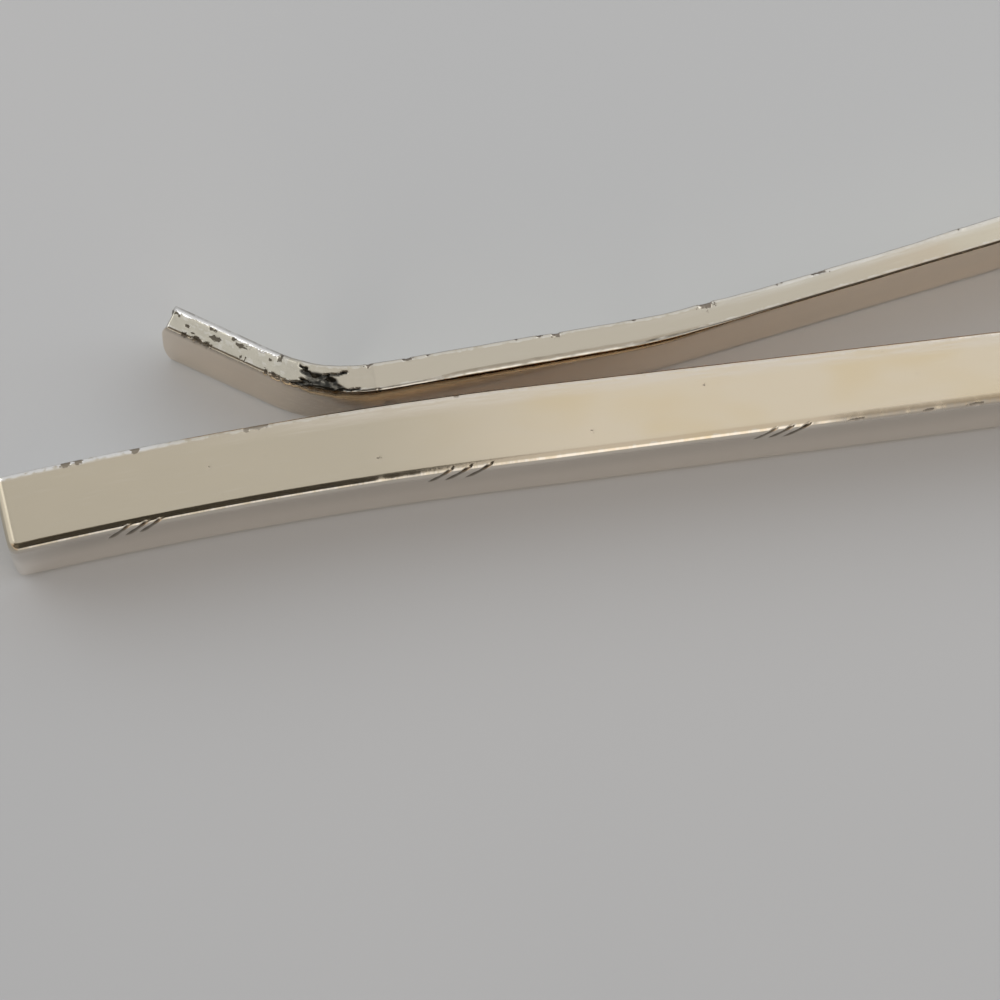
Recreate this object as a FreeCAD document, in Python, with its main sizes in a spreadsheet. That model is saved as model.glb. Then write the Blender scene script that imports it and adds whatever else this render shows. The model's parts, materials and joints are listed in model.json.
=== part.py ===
"""Spring tie clip: a folded gilt facing with a spring strip seated in its open back.

Millimetres. X runs along the front bar towards the fold, Y from the front bar towards
the back arm and Z across the width of the strip, so the clip stands on its long edge.
Every sketch is drawn from the axis of the fold. The sub-parts are then placed with the
clip's footprint centred on the origin.
"""
import FreeCAD
import Part
import Sketcher
import math
import os

SIZES = [
    ("strip_width", 5.0, "width of the strip and height of the facing"),
    ("strip_thickness", 1.05, "thickness of the strip"),
    ("strip_edge_radius", 0.14, "worn arrises of the strip"),
    ("fold_radius", 2.7, "inside radius of the fold"),
    ("fold_shoulder", 0.6, "straight run of full width between fold and facing"),
    ("nip_gap", 0.45, "nip to the line of the facing's straight back, at rest"),
    ("run_angle", 3.2, "slope of the gripping run, degrees"),
    ("lip_angle", 32.0, "slope of the flared lip, degrees"),
    ("knee_distance", 24.0, "fold axis to the end of the gripping run at the knee"),
    ("nip_distance", 33.1, "fold axis to the end of the gripping run at the nip"),
    ("knee_radius", 25.0, "gripping face round the knee"),
    ("nip_radius", 7.7, "gripping face round the nip"),
    ("lip_length", 4.53, "straight part of the lip"),
    ("lip_corner_radius", 0.6, "rounding of the two corners at the lip's end"),
    ("bar_length", 47.9, "length of the facing along its back"),
    ("bar_depth", 3.05, "depth of the facing at its tip"),
    ("bar_taper", 0.7, "slope of the facing's front towards the fold, degrees"),
    ("bow_distance", 27.2, "fold axis to the start of the bow in the front bar"),
    ("bow_radius", 190.0, "radius of the bow at the back of the facing"),
    ("sheet_thickness", 0.4, "sheet that the facing is folded from"),
    ("hem_reach", 0.95, "reach of the inturned hems over the strip"),
    ("front_bend_radius", 0.42, "outside bends at the front and the tip"),
    ("back_bend_radius", 0.16, "outside bends of the hems"),
    ("leg_side_clearance", 0.03, "strip to each side wall of the facing"),
    ("leg_seat_clearance", 0.02, "strip to the hems of the facing"),
    ("leg_end_clearance", 0.3, "strip to the closed tip of the facing"),
]

document = FreeCAD.newDocument("TieClip")
sizes = document.addObject("Spreadsheet::Sheet", "Sizes")
for row, (alias, value, meaning) in enumerate(SIZES, start=1):
    sizes.set(f"A{row}", meaning)
    sizes.set(f"B{row}", str(value))
    sizes.setAlias(f"B{row}", alias)
document.recompute()

# Expressions that more than one sketch uses, all measured from the fold axis
OUTER_RADIUS = "(Sizes.fold_radius + Sizes.strip_thickness)"
HEM_FACE = "(Sizes.fold_radius - Sizes.leg_seat_clearance)"
BACK_PLANE = f"({HEM_FACE} - Sizes.sheet_thickness)"
BOW_ANGLE = (
    "((Sizes.bar_length + Sizes.fold_shoulder - Sizes.bow_distance)"
    " / Sizes.bow_radius * 180 / pi)"
)
LEG_HEIGHT = "(Sizes.sheet_thickness + Sizes.leg_side_clearance)"

# Slope of the arm's root, which brings the nip to its gap: the root line touches both the
# fold's inside and the knee, so reach * sin(slope) + rise * cos(slope) = tangent_radii
KNEE_TANGENT_RADII = "(Sizes.fold_radius + Sizes.knee_radius)"
KNEE_REACH = "(Sizes.knee_distance + Sizes.knee_radius * sin(Sizes.run_angle))"
RUN_RISE = "(Sizes.nip_distance - Sizes.knee_distance) * tan(Sizes.run_angle)"
NIP_RISE = "Sizes.nip_radius * (1 - cos(Sizes.run_angle))"
KNEE_RISE = (
    f"(Sizes.nip_gap - {BACK_PLANE} + {NIP_RISE} + {RUN_RISE}"
    " + Sizes.knee_radius * cos(Sizes.run_angle))"
)
ARM_ANGLE = (
    f"((atan2({KNEE_REACH}; {KNEE_RISE})"
    f" - acos({KNEE_TANGENT_RADII} / sqrt({KNEE_REACH}^2 + {KNEE_RISE}^2))) / 1 deg)"
)

START, END, CENTRE = 1, 2, 3
AXIS = -1
CONTACT = 1e-6


def number(expression):
    """Value of an expression over the sizes, as a plain number."""
    return float(sizes.evalExpression(expression))


def along(degrees):
    """Unit vector in the plan, at an angle from X."""
    turn = math.radians(degrees)
    return FreeCAD.Vector(math.cos(turn), math.sin(turn), 0)


def line(first, last):
    return Part.LineSegment(first, last)


def arc(centre, radius, first_degrees, last_degrees):
    circle = Part.Circle(centre, FreeCAD.Vector(0, 0, 1), radius)
    return Part.ArcOfCircle(circle, math.radians(first_degrees), math.radians(last_degrees))


def new_body(label):
    body = document.addObject("PartDesign::Body", label)
    body.Label = label
    return body


def new_sketch(body, name, role="XY_Plane"):
    """Sketch on one of the body's own origin planes."""
    sketch = body.newObject("Sketcher::SketchObject", name)
    planes = body.Origin.OriginFeatures
    sketch.AttachmentSupport = [next(plane for plane in planes if plane.Role == role)]
    sketch.MapMode = "FlatFace"
    return sketch


def relate(sketch, kind, *references):
    sketch.addConstraint(Sketcher.Constraint(kind, *references))


def measure(sketch, kind, *references, by):
    """Dimension in a sketch, bound to an expression over the sizes."""
    index = sketch.addConstraint(Sketcher.Constraint(kind, *references, in_sketch_units(kind, by)))
    sketch.setExpression(f"Constraints[{index}]", by)


def in_sketch_units(kind, expression):
    value = number(expression)
    return math.radians(value) if kind == "Angle" else value


def rectangle(body, name, low_x, high_x, high_y):
    """Section of the strip on a plane across it: local x is its thickness, y its width."""
    sketch = new_sketch(body, name, "YZ_Plane")
    left, right, top = number(low_x), number(high_x), number(high_y)
    corners = [(left, 0), (right, 0), (right, top), (left, top)]
    points = [FreeCAD.Vector(x, y, 0) for x, y in corners]
    for index, point in enumerate(points):
        sketch.addGeometry(line(point, points[(index + 1) % 4]))
    for index in range(4):
        relate(sketch, "Coincident", index, END, (index + 1) % 4, START)
    for index in (0, 2):
        relate(sketch, "Horizontal", index)
        relate(sketch, "Vertical", index + 1)
    relate(sketch, "PointOnObject", 0, START, AXIS)
    measure(sketch, "DistanceX", AXIS, START, 0, START, by=low_x)
    measure(sketch, "DistanceX", AXIS, START, 0, END, by=high_x)
    measure(sketch, "DistanceY", 1, START, 1, END, by=high_y)
    return sketch


def sweep(body, name, section, path):
    pipe = body.newObject("PartDesign::AdditivePipe", name)
    pipe.Profile = section
    pipe.Spine = path
    document.recompute()
    return pipe


def bowed_outline(body, name, back, front, taper="0", tip_inset="0", end_inset="0", height="0"):
    """Plan of one run of the front bar: straight by the fold, bowed towards the tip.

    back and front are distances from the fold axis towards the front of the clip and
    taper the slope of the front side. The insets are kept from the two ends of the facing.
    """
    sketch = new_sketch(body, name)
    sketch.setExpression("AttachmentOffset.Base.z", height)
    bow_centre_y = f"-({BACK_PLANE} + Sizes.bow_radius)"
    back_radius = f"{BACK_PLANE} + Sizes.bow_radius - {back}"
    front_radius = f"{BACK_PLANE} + Sizes.bow_radius - {front}"
    end_x = f"-(Sizes.fold_shoulder + {end_inset})"
    tip_angle = f"90 + {BOW_ANGLE} - {tip_inset} / Sizes.bow_radius * 180 / pi"

    centre = FreeCAD.Vector(-sizes.bow_distance, number(bow_centre_y), 0)
    slope = number(taper)
    tip_turn = number(tip_angle)
    back_start = centre + along(90) * number(back_radius)
    front_start = centre + along(90 + slope) * number(front_radius)
    fold_end = number(end_x)
    back_end = FreeCAD.Vector(fold_end, back_start.y, 0)
    front_rise = (fold_end - front_start.x) * math.tan(math.radians(slope))
    front_end = FreeCAD.Vector(fold_end, front_start.y + front_rise, 0)
    back_tip = centre + along(tip_turn) * number(back_radius)
    front_tip = centre + along(tip_turn) * number(front_radius)

    back_line = sketch.addGeometry(line(back_start, back_end))
    back_arc = sketch.addGeometry(arc(centre, number(back_radius), 90, tip_turn))
    tip_line = sketch.addGeometry(line(front_tip, back_tip))
    front_arc = sketch.addGeometry(arc(centre, number(front_radius), 90 + slope, tip_turn))
    front_line = sketch.addGeometry(line(front_start, front_end))
    end_line = sketch.addGeometry(line(front_end, back_end))

    relate(sketch, "Tangent", back_line, START, back_arc, START)
    relate(sketch, "Coincident", back_arc, END, tip_line, END)
    relate(sketch, "Coincident", tip_line, START, front_arc, END)
    relate(sketch, "Tangent", front_arc, START, front_line, START)
    relate(sketch, "Coincident", front_line, END, end_line, START)
    relate(sketch, "Coincident", end_line, END, back_line, END)
    relate(sketch, "Coincident", back_arc, CENTRE, front_arc, CENTRE)
    relate(sketch, "Horizontal", back_line)
    relate(sketch, "Vertical", end_line)
    relate(sketch, "PointOnObject", back_arc, CENTRE, tip_line)
    measure(sketch, "DistanceX", AXIS, START, back_arc, CENTRE, by="-Sizes.bow_distance")
    measure(sketch, "DistanceY", AXIS, START, back_arc, CENTRE, by=bow_centre_y)
    measure(sketch, "DistanceX", AXIS, START, back_line, END, by=end_x)
    measure(sketch, "Radius", back_arc, by=back_radius)
    measure(sketch, "Radius", front_arc, by=front_radius)
    measure(sketch, "Angle", tip_line, by=tip_angle)
    measure(sketch, "Angle", front_line, by=taper)
    return sketch


def pad(body, sketch, length):
    feature = body.newObject("PartDesign::Pad", f"{sketch.Name}Pad")
    feature.Profile = sketch
    feature.setExpression("Length", length)
    document.recompute()
    return feature


def pocket(body, sketch, length):
    """Cut upwards from a sketch that lies below the metal that goes."""
    before = body.Shape.Volume
    feature = body.newObject("PartDesign::Pocket", f"{sketch.Name}Pocket")
    feature.Profile = sketch
    feature.Reversed = True
    feature.setExpression("Length", length)
    document.recompute()
    if not body.Shape.Volume < before:
        raise RuntimeError(f"{feature.Name} cuts nothing")
    return feature


def round_edges(body, name, radius, wanted):
    """Fillet every edge of the body that the test wants."""
    base = body.Tip
    names = [f"Edge{n}" for n, edge in enumerate(base.Shape.Edges, start=1) if wanted(edge)]
    feature = body.newObject("PartDesign::Fillet", name)
    feature.Base = (base, names)
    feature.setExpression("Radius", radius)
    document.recompute()
    return feature


def is_rim(edge):
    """Edge that lies in the lower or the upper long side of the strip."""
    heights = [edge.BoundBox.ZMin, edge.BoundBox.ZMax]
    return any(
        all(abs(height - level) < CONTACT for height in heights)
        for level in (0, sizes.strip_width)
    )


def middle(edge):
    return edge.valueAt((edge.FirstParameter + edge.LastParameter) / 2)


def front_shell():
    """Facing: one sheet folded to a hollow bar, its back edges hemmed over the strip."""
    body = new_body("front_shell")
    front = f"({BACK_PLANE} + Sizes.bar_depth)"
    outer = bowed_outline(body, "FacingPlan", BACK_PLANE, front, taper="Sizes.bar_taper")
    pad(body, outer, "Sizes.strip_width")

    back_y = -number(BACK_PLANE)
    bow_centre = FreeCAD.Vector(-sizes.bow_distance, back_y - sizes.bow_radius, 0)
    tip_normal = along(90 + number(BOW_ANGLE) + 90)
    tip_level = (bow_centre + along(90 + number(BOW_ANGLE)) * sizes.bow_radius).dot(tip_normal)

    def in_fold_end(point):
        return abs(point.x + sizes.fold_shoulder) < CONTACT

    def in_back(point):
        from_centre = point - FreeCAD.Vector(bow_centre.x, bow_centre.y, point.z)
        bowed = abs(from_centre.Length - sizes.bow_radius) < CONTACT
        return bowed or abs(point.y - back_y) < CONTACT

    def in_tip(point):
        return abs(point.dot(tip_normal) - tip_level) < CONTACT

    def is_front_bend(edge):
        point = middle(edge)
        if in_fold_end(point) or in_back(point):
            return False
        return is_rim(edge) or in_tip(point)

    def is_back_bend(edge):
        point = middle(edge)
        return is_rim(edge) and in_back(point) and not in_fold_end(point)

    round_edges(body, "FrontBends", "Sizes.front_bend_radius", is_front_bend)
    round_edges(body, "BackBends", "Sizes.back_bend_radius", is_back_bend)

    sheet = "Sizes.sheet_thickness"
    hollow = bowed_outline(
        body, "Hollow", HEM_FACE, f"({front} - {sheet})",
        taper="Sizes.bar_taper", tip_inset=sheet, end_inset=sheet, height=sheet,
    )
    pocket(body, hollow, f"Sizes.strip_width - 2 * {sheet}")
    channel = bowed_outline(
        body, "LegChannel", HEM_FACE, f"({OUTER_RADIUS} + Sizes.leg_seat_clearance)",
        tip_inset=sheet, height=sheet,
    )
    pocket(body, channel, f"Sizes.strip_width - 2 * {sheet}")
    slot = bowed_outline(
        body, "HemSlot", f"({BACK_PLANE} - {sheet})", HEM_FACE,
        tip_inset=sheet, height="Sizes.hem_reach",
    )
    pocket(body, slot, "Sizes.strip_width - 2 * Sizes.hem_reach")
    return body


def spring_leg():
    """Front end of the strip, narrowed to lie between the facing's walls under its hems."""
    body = new_body("spring_leg")
    inset = "(Sizes.sheet_thickness + Sizes.leg_end_clearance)"
    plan = bowed_outline(
        body, "LegPlan", "Sizes.fold_radius", OUTER_RADIUS, tip_inset=inset, height=LEG_HEIGHT,
    )
    pad(body, plan, f"Sizes.strip_width - 2 * {LEG_HEIGHT}")
    return body


def spring_fold():
    """Teardrop fold of the strip, round the axis that the back arm opens about."""
    body = new_body("spring_fold")
    section = rectangle(
        body, "FoldSection", f"-{OUTER_RADIUS}", "-Sizes.fold_radius", "Sizes.strip_width",
    )
    section.setExpression("AttachmentOffset.Base.z", "-Sizes.fold_shoulder")

    path = new_sketch(body, "FoldPath")
    arm = number(ARM_ANGLE)
    origin = FreeCAD.Vector(0, 0, 0)
    bend_start = along(-90) * sizes.fold_radius
    run_start = bend_start - along(0) * sizes.fold_shoulder
    run = path.addGeometry(line(run_start, bend_start))
    bend = path.addGeometry(arc(origin, sizes.fold_radius, -90, 90 + arm))
    root = path.addGeometry(line(origin, along(90 + arm) * sizes.fold_radius), True)
    relate(path, "Coincident", bend, CENTRE, AXIS, START)
    relate(path, "Coincident", root, START, AXIS, START)
    relate(path, "Coincident", root, END, bend, END)
    relate(path, "Tangent", run, END, bend, START)
    relate(path, "Horizontal", run)
    measure(path, "Radius", bend, by="Sizes.fold_radius")
    measure(path, "Angle", root, by=f"90 + {ARM_ANGLE}")
    measure(path, "DistanceX", run, START, run, END, by="Sizes.fold_shoulder")
    sweep(body, "Fold", section, path)

    def in_root(point):
        return abs(point.dot(along(arm))) < CONTACT and point.y > 0

    def is_worn(edge):
        point = middle(edge)
        return is_rim(edge) and not in_root(point) and point.x > -sizes.fold_shoulder + CONTACT

    round_edges(body, "FoldArrises", "Sizes.strip_edge_radius", is_worn)
    return body


def spring_arm():
    """Back arm of the strip: root, knee, gripping run, nip and flared lip."""
    body = new_body("spring_arm")
    section = rectangle(
        body, "ArmSection", "Sizes.fold_radius", OUTER_RADIUS, "Sizes.strip_width",
    )
    arm, run, lip = number(ARM_ANGLE), sizes.run_angle, sizes.lip_angle
    turn_to_root = FreeCAD.Rotation(FreeCAD.Vector(0, 1, 0), arm)
    section.AttachmentOffset = FreeCAD.Placement(FreeCAD.Vector(0, 0, 0), turn_to_root)
    section.setExpression("AttachmentOffset.Rotation.Angle", ARM_ANGLE)

    path = new_sketch(body, "GrippingFace")
    root_point = along(90 + arm) * sizes.fold_radius
    root_to_centre = along(90 + arm) * sizes.knee_radius
    run_to_centre = along(90 + run) * sizes.knee_radius
    knee_upper_x = -sizes.knee_distance + run_to_centre.x - root_to_centre.x
    root_length = (root_point.x - knee_upper_x) / math.cos(math.radians(arm))
    knee_upper = root_point - along(arm) * root_length
    knee_centre = knee_upper + root_to_centre
    knee_lower = knee_centre - run_to_centre
    run_length = (sizes.nip_distance - sizes.knee_distance) / math.cos(math.radians(run))
    nip_end = knee_lower - along(run) * run_length
    nip_centre = nip_end + along(90 + run) * sizes.nip_radius
    lip_start = nip_centre - along(90 - lip) * sizes.nip_radius
    lip_end = lip_start + along(180 - lip) * sizes.lip_length

    root_line = path.addGeometry(line(knee_upper, root_point))
    knee = path.addGeometry(arc(knee_centre, sizes.knee_radius, 270 + run, 270 + arm))
    run_line = path.addGeometry(line(nip_end, knee_lower))
    nip = path.addGeometry(arc(nip_centre, sizes.nip_radius, 270 - lip, 270 + run))
    lip_line = path.addGeometry(line(lip_start, lip_end))
    radial = path.addGeometry(line(FreeCAD.Vector(0, 0, 0), root_point), True)
    relate(path, "Coincident", radial, START, AXIS, START)
    relate(path, "Coincident", radial, END, root_line, END)
    relate(path, "Tangent", root_line, START, knee, END)
    relate(path, "Tangent", knee, START, run_line, END)
    relate(path, "Tangent", run_line, START, nip, END)
    relate(path, "Tangent", nip, START, lip_line, START)
    measure(path, "Angle", radial, by=f"90 + {ARM_ANGLE}")
    measure(path, "Distance", radial, by="Sizes.fold_radius")
    measure(path, "Angle", root_line, by=ARM_ANGLE)
    measure(path, "Angle", run_line, by="Sizes.run_angle")
    measure(path, "Angle", lip_line, by="180 - Sizes.lip_angle")
    measure(path, "Radius", knee, by="Sizes.knee_radius")
    measure(path, "Radius", nip, by="Sizes.nip_radius")
    measure(path, "DistanceX", AXIS, START, run_line, END, by="-Sizes.knee_distance")
    measure(path, "DistanceX", AXIS, START, run_line, START, by="-Sizes.nip_distance")
    measure(path, "Distance", lip_line, by="Sizes.lip_length")
    sweep(body, "Arm", section, path)

    def in_root(point):
        return abs(point.dot(along(arm))) < CONTACT

    def is_lip_corner(edge):
        past_end = (middle(edge) - lip_end).dot(along(180 - lip))
        return is_rim(edge) and past_end > -CONTACT

    def is_worn(edge):
        return is_rim(edge) and not in_root(middle(edge))

    round_edges(body, "LipCorners", "Sizes.lip_corner_radius", is_lip_corner)
    round_edges(body, "ArmArrises", "Sizes.strip_edge_radius", is_worn)
    return body


bodies = [front_shell(), spring_leg(), spring_fold(), spring_arm()]
document.recompute()

# Footprint of the whole clip, centred on the origin
footprint = FreeCAD.BoundBox()
for body in bodies:
    footprint.add(body.Shape.optimalBoundingBox(False, False))
shift = FreeCAD.Vector(-footprint.Center.x, -footprint.Center.y, -footprint.ZMin)
for body in bodies:
    body.Placement = FreeCAD.Placement(shift, FreeCAD.Rotation())
document.recompute()

for item in document.Objects:
    if "Invalid" in item.State or "Error" in item.State:
        raise RuntimeError(f"{item.Label} failed: {item.State}")
for body in bodies:
    if body.Shape.isNull() or not body.Shape.isValid():
        raise RuntimeError(f"{body.Label} has no valid shape")

print("fold axis at", round(shift.x, 4), round(shift.y, 4), "arm slope", round(number(ARM_ANGLE), 3))
os.makedirs("parts", exist_ok=True)
for body in bodies:
    body.Shape.exportStep(f"parts/{body.Label}.step")
    print(body.Label, round(body.Shape.Volume, 2), len(body.Shape.Solids), len(body.Shape.Faces))
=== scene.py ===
"""Looks of the spring tie clip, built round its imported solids.

Lengths of the clip are in millimetres until they reach a mesh, which is in metres. Those of
the table, the lamps and the dark card are in metres. Along the back arm and the front bar, a
place is given by its length along the metal.
"""
import json
import math

import bmesh
import bpy
import numpy as np
from mathutils import Matrix, Vector, noise


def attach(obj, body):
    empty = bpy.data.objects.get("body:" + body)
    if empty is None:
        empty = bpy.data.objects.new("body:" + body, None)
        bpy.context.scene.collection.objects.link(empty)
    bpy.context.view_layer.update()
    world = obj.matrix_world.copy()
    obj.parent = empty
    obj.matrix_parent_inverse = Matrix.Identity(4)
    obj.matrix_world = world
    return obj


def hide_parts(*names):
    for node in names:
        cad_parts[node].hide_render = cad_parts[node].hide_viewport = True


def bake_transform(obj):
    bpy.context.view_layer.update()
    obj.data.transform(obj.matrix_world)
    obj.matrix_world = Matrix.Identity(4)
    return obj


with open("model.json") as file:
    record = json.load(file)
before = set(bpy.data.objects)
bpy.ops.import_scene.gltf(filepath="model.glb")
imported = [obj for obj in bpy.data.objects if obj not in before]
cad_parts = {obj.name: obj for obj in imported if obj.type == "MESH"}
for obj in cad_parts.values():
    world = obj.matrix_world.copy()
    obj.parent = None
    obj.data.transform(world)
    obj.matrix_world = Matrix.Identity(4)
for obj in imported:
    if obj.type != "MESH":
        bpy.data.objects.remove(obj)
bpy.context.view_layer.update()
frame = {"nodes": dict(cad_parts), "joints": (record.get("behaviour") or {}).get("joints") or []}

MM = 0.001
FOLD_AXIS = np.array(frame["joints"][0]["pos_m"][:2]) / MM

# Sizes of the solids, measured from the fold's axis as their source does
WIDTH = 5.0
THICKNESS = 1.05
ARRIS = 0.14
FOLD_RADIUS = 2.7
FOLD_SHOULDER = 0.6
NIP_GAP = 0.45
RUN_ANGLE = math.radians(3.2)
LIP_ANGLE = math.radians(32.0)
KNEE_DISTANCE = 24.0
NIP_DISTANCE = 33.1
KNEE_RADIUS = 25.0
NIP_RADIUS = 7.7
LIP_LENGTH = 4.53
BAR_LENGTH = 47.9
BAR_DEPTH = 3.05
BAR_TAPER = math.radians(0.7)
BOW_DISTANCE = 27.2
BOW_RADIUS = 190.0
SHEET = 0.4
HEM_REACH = 0.95
FRONT_BEND = 0.42
BACK_BEND = 0.16
SEAT_CLEARANCE = 0.02
BACK_PLANE = FOLD_RADIUS - SEAT_CLEARANCE - SHEET

# How far the looks stay inside the solids
SKIN = 0.004

# Shape of the worn metal, which only the looks have
LIP_CROWN = 0.26
LIP_END_ARRIS = 0.08
ARM_SWELL = 0.10
ARM_THINNING = 0.08
GRIP_ARRIS_WEAR = 0.15
LIP_ARRIS_WEAR = 0.30
STRIP_WEAR_REACH = 0.34
STRIP_DENT = 0.012
ARRIS_WAVE = 0.035
LIP_RIPPLE = 0.018
FLECK_DEPTH = 0.015
GOUGE_DEPTH = 0.10
LOWER_NICK_DEPTH = 0.05
MOUTH_ARRIS = 0.08
BAR_WEAR_REACH = 0.42
BAR_DENT = 0.010
BAR_WAVE = 0.012
BAR_LOWER_NICK_DEPTH = 0.06
# Span of the arris normals' height that the painted shade line at the arm's root covers
SHADE_BAND_SPAN = (0.30, 0.82)
# Rings of each bar that cuts the facing hollow
CUT_STATIONS = 90


def smooth(value, low, high):
    """Smooth step from 0 at low to 1 at high, which may be the lower number."""
    t = np.clip((np.asarray(value, float) - low) / (high - low), 0, 1)
    return t * t * (3 - 2 * t)


def band(value, low, high):
    """1 between low and high, falling to 0 a little outside them."""
    return smooth(value, low - 0.08, low) * smooth(value, high + 0.10, high)


def span(value, start, full, fading, end):
    """Rises from 0 to 1 between start and full, and falls again between fading and end."""
    return smooth(value, start, full) * (1 - smooth(value, fading, end))


def along(angle):
    """Unit vector at an angle, seen from above."""
    return np.stack([np.cos(angle), np.sin(angle)], -1)


def arm_slope():
    """Slope of the arm's root, from the gap at the nip, as in the solids."""
    radii = FOLD_RADIUS + KNEE_RADIUS
    reach = KNEE_DISTANCE + KNEE_RADIUS * math.sin(RUN_ANGLE)
    rise = (NIP_GAP - BACK_PLANE + NIP_RADIUS * (1 - math.cos(RUN_ANGLE))
            + (NIP_DISTANCE - KNEE_DISTANCE) * math.tan(RUN_ANGLE)
            + KNEE_RADIUS * math.cos(RUN_ANGLE))
    return math.atan2(reach, rise) - math.acos(radii / math.hypot(reach, rise))


ARM_ANGLE = arm_slope()


def arm_runs():
    """(length, radius or None, slope at its start) of each run of the arm's gripping face."""
    start = along(ARM_ANGLE + math.pi / 2) * FOLD_RADIUS
    knee_x = -KNEE_DISTANCE + KNEE_RADIUS * (math.sin(ARM_ANGLE) - math.sin(RUN_ANGLE))
    root = (start[0] - knee_x) / math.cos(ARM_ANGLE)
    run = (NIP_DISTANCE - KNEE_DISTANCE) / math.cos(RUN_ANGLE)
    return [
        (root, None, ARM_ANGLE),
        (KNEE_RADIUS * (ARM_ANGLE - RUN_ANGLE), KNEE_RADIUS, ARM_ANGLE),
        (run, None, RUN_ANGLE),
        (NIP_RADIUS * (RUN_ANGLE + LIP_ANGLE), NIP_RADIUS, RUN_ANGLE),
        (LIP_LENGTH, None, -LIP_ANGLE),
    ]


ARM_RUNS = arm_runs()
ARM_LENGTH = sum(run[0] for run in ARM_RUNS)
LIP_START = ARM_LENGTH - LIP_LENGTH


def arm_path(s):
    """Points of the gripping face and its normals towards the outer face."""
    s = np.asarray(s, float)
    place = along(np.array(ARM_ANGLE + math.pi / 2)) * FOLD_RADIUS
    points = np.zeros(s.shape + (2,))
    slopes = np.zeros(s.shape)
    begin = 0.0
    for index, (length, radius, slope) in enumerate(ARM_RUNS):
        last = index == len(ARM_RUNS) - 1
        here = (s >= begin) & ((s < begin + length) | last)

        def at(d):
            if radius is None:
                return place - along(np.full_like(d, slope)) * d[..., None], np.full_like(d, slope)
            centre = place + along(np.array(slope + math.pi / 2)) * radius
            turned = slope - d / radius
            return centre - along(turned + math.pi / 2) * radius, turned

        points[here], slopes[here] = at(s[here] - begin)
        place = at(np.array([length]))[0][0]
        begin += length
    return points, along(slopes + math.pi / 2)


def fold_path(s):
    """Inner face of the fold from the facing's end, with normals towards its outside."""
    s = np.asarray(s, float)
    turn = np.clip(s - FOLD_SHOULDER, 0, None) / FOLD_RADIUS - math.pi / 2
    normals = along(turn)
    points = normals * FOLD_RADIUS
    points[..., 0] -= np.clip(FOLD_SHOULDER - s, 0, None)
    return points, normals


FOLD_LENGTH = FOLD_SHOULDER + FOLD_RADIUS * (math.pi + ARM_ANGLE)


def bar_path(length):
    """Back plane of the front bar from its fold end, with normals towards the front."""
    length = np.asarray(length, float)
    bow = np.clip(length + FOLD_SHOULDER - BOW_DISTANCE, 0, None) / BOW_RADIUS
    straight = np.minimum(length, BOW_DISTANCE - FOLD_SHOULDER)
    normals = -along(bow + math.pi / 2)
    points = np.stack([-FOLD_SHOULDER - straight, np.full_like(length, -BACK_PLANE)], -1)
    points = points + (normals - np.array([0, -1])) * BOW_RADIUS * np.array([-1, -1])
    return points, normals


def bar_depth(length):
    """Depth of the front bar, which tapers towards the fold."""
    run = np.clip(BOW_DISTANCE - FOLD_SHOULDER - np.asarray(length, float), 0, None)
    return BAR_DEPTH - run * math.tan(BAR_TAPER)


class Section:
    """Rounded section: inner and outer long faces, joined above and below by short ones.

    Each point has a place across the metal (0 at the inner face, 1 at the outer one), a
    height, and a normal. The radii belong to the inner top, outer top, outer bottom and
    inner bottom arrises.
    """

    def __init__(self, long_faces, short_faces, arcs):
        self.counts = [long_faces[0], arcs[0], short_faces[0], arcs[1],
                       long_faces[1], arcs[1], short_faces[1], arcs[0]]
        self.size = sum(self.counts)

    def lay(self, thickness, height, radii):
        """Points (across, height) and normals for arrays of thickness and of four radii."""
        inner_top, outer_top, outer_bottom, inner_bottom = radii
        zero, points, normals = np.zeros_like(thickness), [], []

        def flat(start, end, normal, count):
            for k in range(count):
                t = k / count
                points.append([a + (b - a) * t for a, b in zip(start, end)])
                normals.append([zero + normal[0], zero + normal[1]])

        def bend(x, z, radius, first, count):
            for k in range(count):
                angle = math.radians(first - 90 * k / count)
                c, s = math.cos(angle), math.sin(angle)
                points.append([x + radius * c, z + radius * s])
                normals.append([zero + c, zero + s])

        top, low = zero + height, zero
        n = self.counts
        flat((zero, inner_bottom), (zero, top - inner_top), (-1, 0), n[0])
        bend(inner_top, top - inner_top, inner_top, 180, n[1])
        flat((inner_top, top), (thickness - outer_top, top), (0, 1), n[2])
        bend(thickness - outer_top, top - outer_top, outer_top, 90, n[3])
        flat((thickness, top - outer_top), (thickness, outer_bottom), (1, 0), n[4])
        bend(thickness - outer_bottom, outer_bottom, outer_bottom, 0, n[5])
        flat((thickness - outer_bottom, low), (inner_bottom, low), (0, -1), n[6])
        bend(inner_bottom, inner_bottom, inner_bottom, -90, n[7])
        order = (2, 0, 1)
        return np.transpose(np.array(points), order), np.transpose(np.array(normals), order)


def rounded_end(distance, radius):
    """How far a rounded end draws the section in, at a distance from that end."""
    near = np.clip(radius - distance, 0, radius)
    return radius - np.sqrt(np.maximum(radius * radius - near * near, 0))


def narrowed(height, inset):
    """Heights drawn in towards mid width by an inset at the arrises."""
    half = WIDTH / 2
    return half + (height - half) * (half - inset) / half


def stations(length, step, *fine):
    """Places along a length, closer together in each (start, end, step) of fine."""
    places = [np.linspace(0, length, int(length / step) + 1)]
    for start, end, fine_step in fine:
        start, end = max(start, 0), min(end, length)
        places.append(np.linspace(start, end, int((end - start) / fine_step) + 2))
    found = np.unique(np.round(np.concatenate(places), 4))
    keep = np.concatenate([[True], np.diff(found) > 0.012])
    keep[-1] = True
    return found[keep]


def round_nicks(nicks):
    """Fine stretches for stations() round each nick, from its place and half length."""
    reach, step = 1.7, 0.06
    return [(nick[0] - reach * nick[2], nick[0] + reach * nick[2], step) for nick in nicks]


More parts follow.
